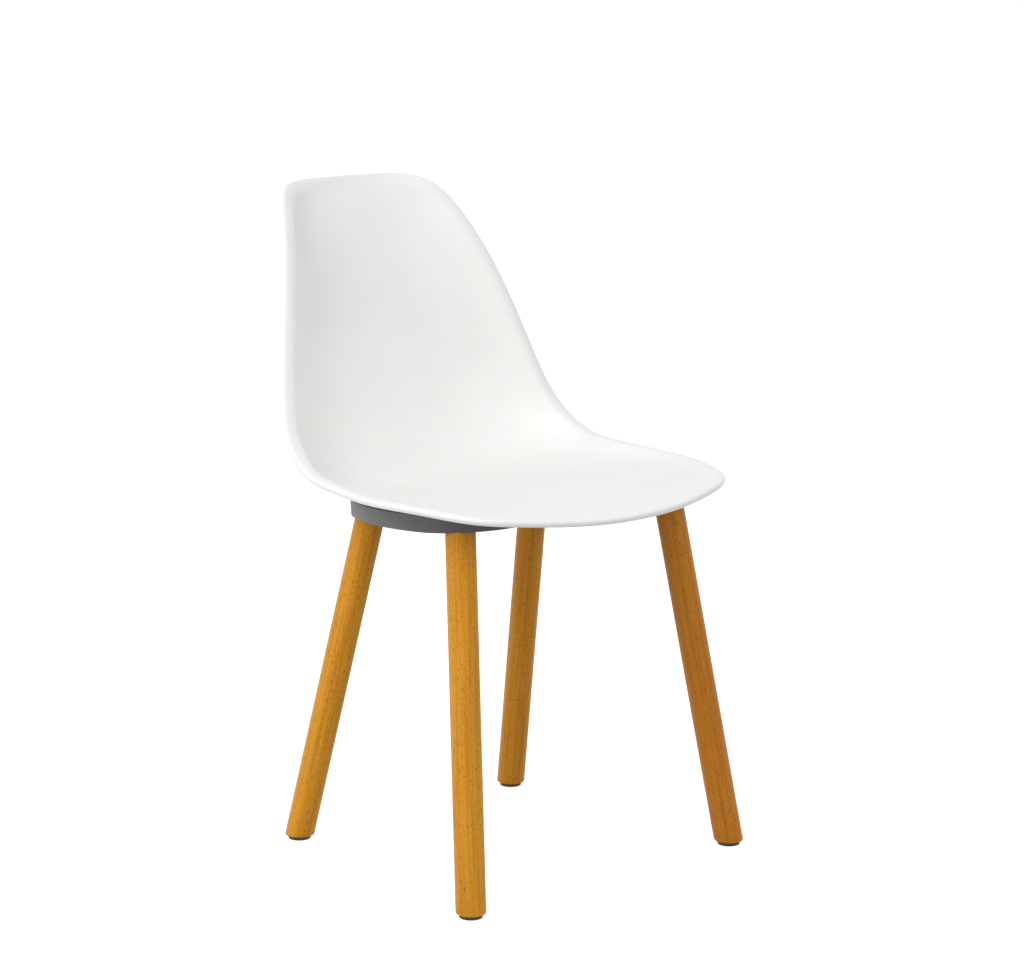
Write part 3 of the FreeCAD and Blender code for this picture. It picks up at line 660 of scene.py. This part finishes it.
def make_base():
    """The grey tray: its solid's mesh merged, so its rounded edges shade smoothly."""
    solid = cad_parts["underseat_base"]
    points = [vertex.co.copy() for vertex in solid.data.vertices]
    faces = [list(face.vertices) for face in solid.data.polygons]
    points, faces = merged(points, faces, MERGE_GAP)
    add_piece("base_tray", points, faces, BASE_PLASTIC, "underseat_base",
              smooth_angle=30)


make_shell()
make_base()
for number, corner_name in enumerate(CORNERS):
    make_leg(corner_name, number)
    make_glide(corner_name)
base_plane = base_frame()
screws = screw_tree()
seat_places = [base_plane @ (Vector((across, along, SEAT_SCREW_HEIGHT)) * MM)
               for across, along in SCREW_SPOTS]
make_screws("seat_screw_set", screws, SEAT_SCREW, seat_places, -math.radians(BASE_TILT),
            SEAT_SCREW_SEED, "seat_screws")
feet = [leg_frame(corner)[0].translation for corner in CORNERS]
glide_places = [Vector((foot.x, foot.y, GLIDE_RECESS * MM)) for foot in feet]
make_screws("glide_screw_set", screws, GLIDE_SCREW, glide_places, 0.0, GLIDE_SCREW_SEED,
            "glide_screws")
dress_solid("shell_inserts", BRASS)
for fastener in ("seat_screw_washers", "leg_inserts", "leg_bolts", "leg_bolt_washers"):
    dress_solid(fastener, STEEL)


# Studio

def seen_by_eye(tree):
    """1 for rays that show the surroundings: camera, glossy and transmission rays."""
    path = node(tree, "ShaderNodeLightPath")
    first = node(tree, "ShaderNodeMath", {0: path.outputs["Is Camera Ray"],
                                          1: path.outputs["Is Glossy Ray"]}, operation="MAXIMUM")
    return node(tree, "ShaderNodeMath", {0: first.outputs["Value"],
                                         1: path.outputs["Is Transmission Ray"]},
                operation="MAXIMUM").outputs["Value"]


def make_floor():
    """A plain white floor that keeps the chair's soft shadow and lights the chair less."""
    half = 80.0
    mesh = bpy.data.meshes.new("studio_floor")
    corners = [(-half, -half, 0), (half, -half, 0), (half, half, 0), (-half, half, 0)]
    mesh.from_pydata(corners, [], [(0, 1, 2, 3)])
    material, tree = new_material("white_studio_paper")
    paper = node(tree, "ShaderNodeBsdfDiffuse", {"Color": srgb("#E8E8E8")})
    glow = node(tree, "ShaderNodeEmission", {"Color": srgb("#FFFFFF"), "Strength": 0.66})
    lifted = node(tree, "ShaderNodeAddShader", {0: paper.outputs["BSDF"],
                                                1: glow.outputs["Emission"]})
    dim = node(tree, "ShaderNodeBsdfDiffuse", {"Color": srgb("#B0B0B0")})
    mixed = node(tree, "ShaderNodeMixShader", {"Fac": seen_by_eye(tree), 1: dim.outputs["BSDF"],
                                               2: lifted.outputs["Shader"]})
    node(tree, "ShaderNodeOutputMaterial", {"Surface": mixed.outputs["Shader"]})
    mesh.materials.append(material)
    floor = bpy.data.objects.new("studio_floor", mesh)
    bpy.context.scene.collection.objects.link(floor)


def make_world():
    """Even soft light from all round, and pure white where it is seen."""
    world = bpy.data.worlds.new("studio")
    world.use_nodes = True
    tree = world.node_tree
    tree.nodes.clear()
    light = node(tree, "ShaderNodeBackground", {"Color": srgb("#FFFFFF"), "Strength": 0.62})
    white = node(tree, "ShaderNodeBackground", {"Color": srgb("#FFFFFF"), "Strength": 1.0})
    mixed = node(tree, "ShaderNodeMixShader", {"Fac": seen_by_eye(tree),
                                               1: light.outputs["Background"],
                                               2: white.outputs["Background"]})
    node(tree, "ShaderNodeOutputWorld", {"Surface": mixed.outputs["Shader"]})
    bpy.context.scene.world = world


def make_lamp(name, place, target, width, power):
    """A soft square lamp: its place and target and its width in metres, its power in watts."""
    lamp = bpy.data.lights.new(name, "AREA")
    lamp.shape = "SQUARE"
    lamp.size = width
    lamp.energy = power
    item = bpy.data.objects.new(name, lamp)
    item.location = place
    item.rotation_euler = (Vector(target) - Vector(place)).to_track_quat("-Z", "Y").to_euler()
    bpy.context.scene.collection.objects.link(item)


def make_camera():
    """The camera, where the photograph was taken from."""
    data = bpy.data.cameras.new("camera")
    data.lens = CAMERA_LENS
    data.sensor_width = SENSOR_WIDTH
    camera = bpy.data.objects.new("camera", data)
    camera.location = CAMERA_PLACE + CENTRING
    look = CAMERA_TARGET - CAMERA_PLACE
    camera.rotation_euler = look.to_track_quat("-Z", "Y").to_euler()
    bpy.context.scene.collection.objects.link(camera)
    bpy.context.scene.camera = camera


make_floor()
make_world()
make_lamp("key_lamp", (-2.4, -0.3, 2.6), (0.0, 0.0, 0.45), 1.8, 42.0)
make_lamp("low_lamp", (-2.6, 0.6, 0.8), (0.0, 0.0, 0.35), 1.4, 12.0)
make_lamp("fill_lamp", (1.2, -3.0, 1.8), (0.0, 0.0, 0.45), 2.2, 19.0)
make_camera()
bpy.context.scene.view_settings.view_transform = "Standard"
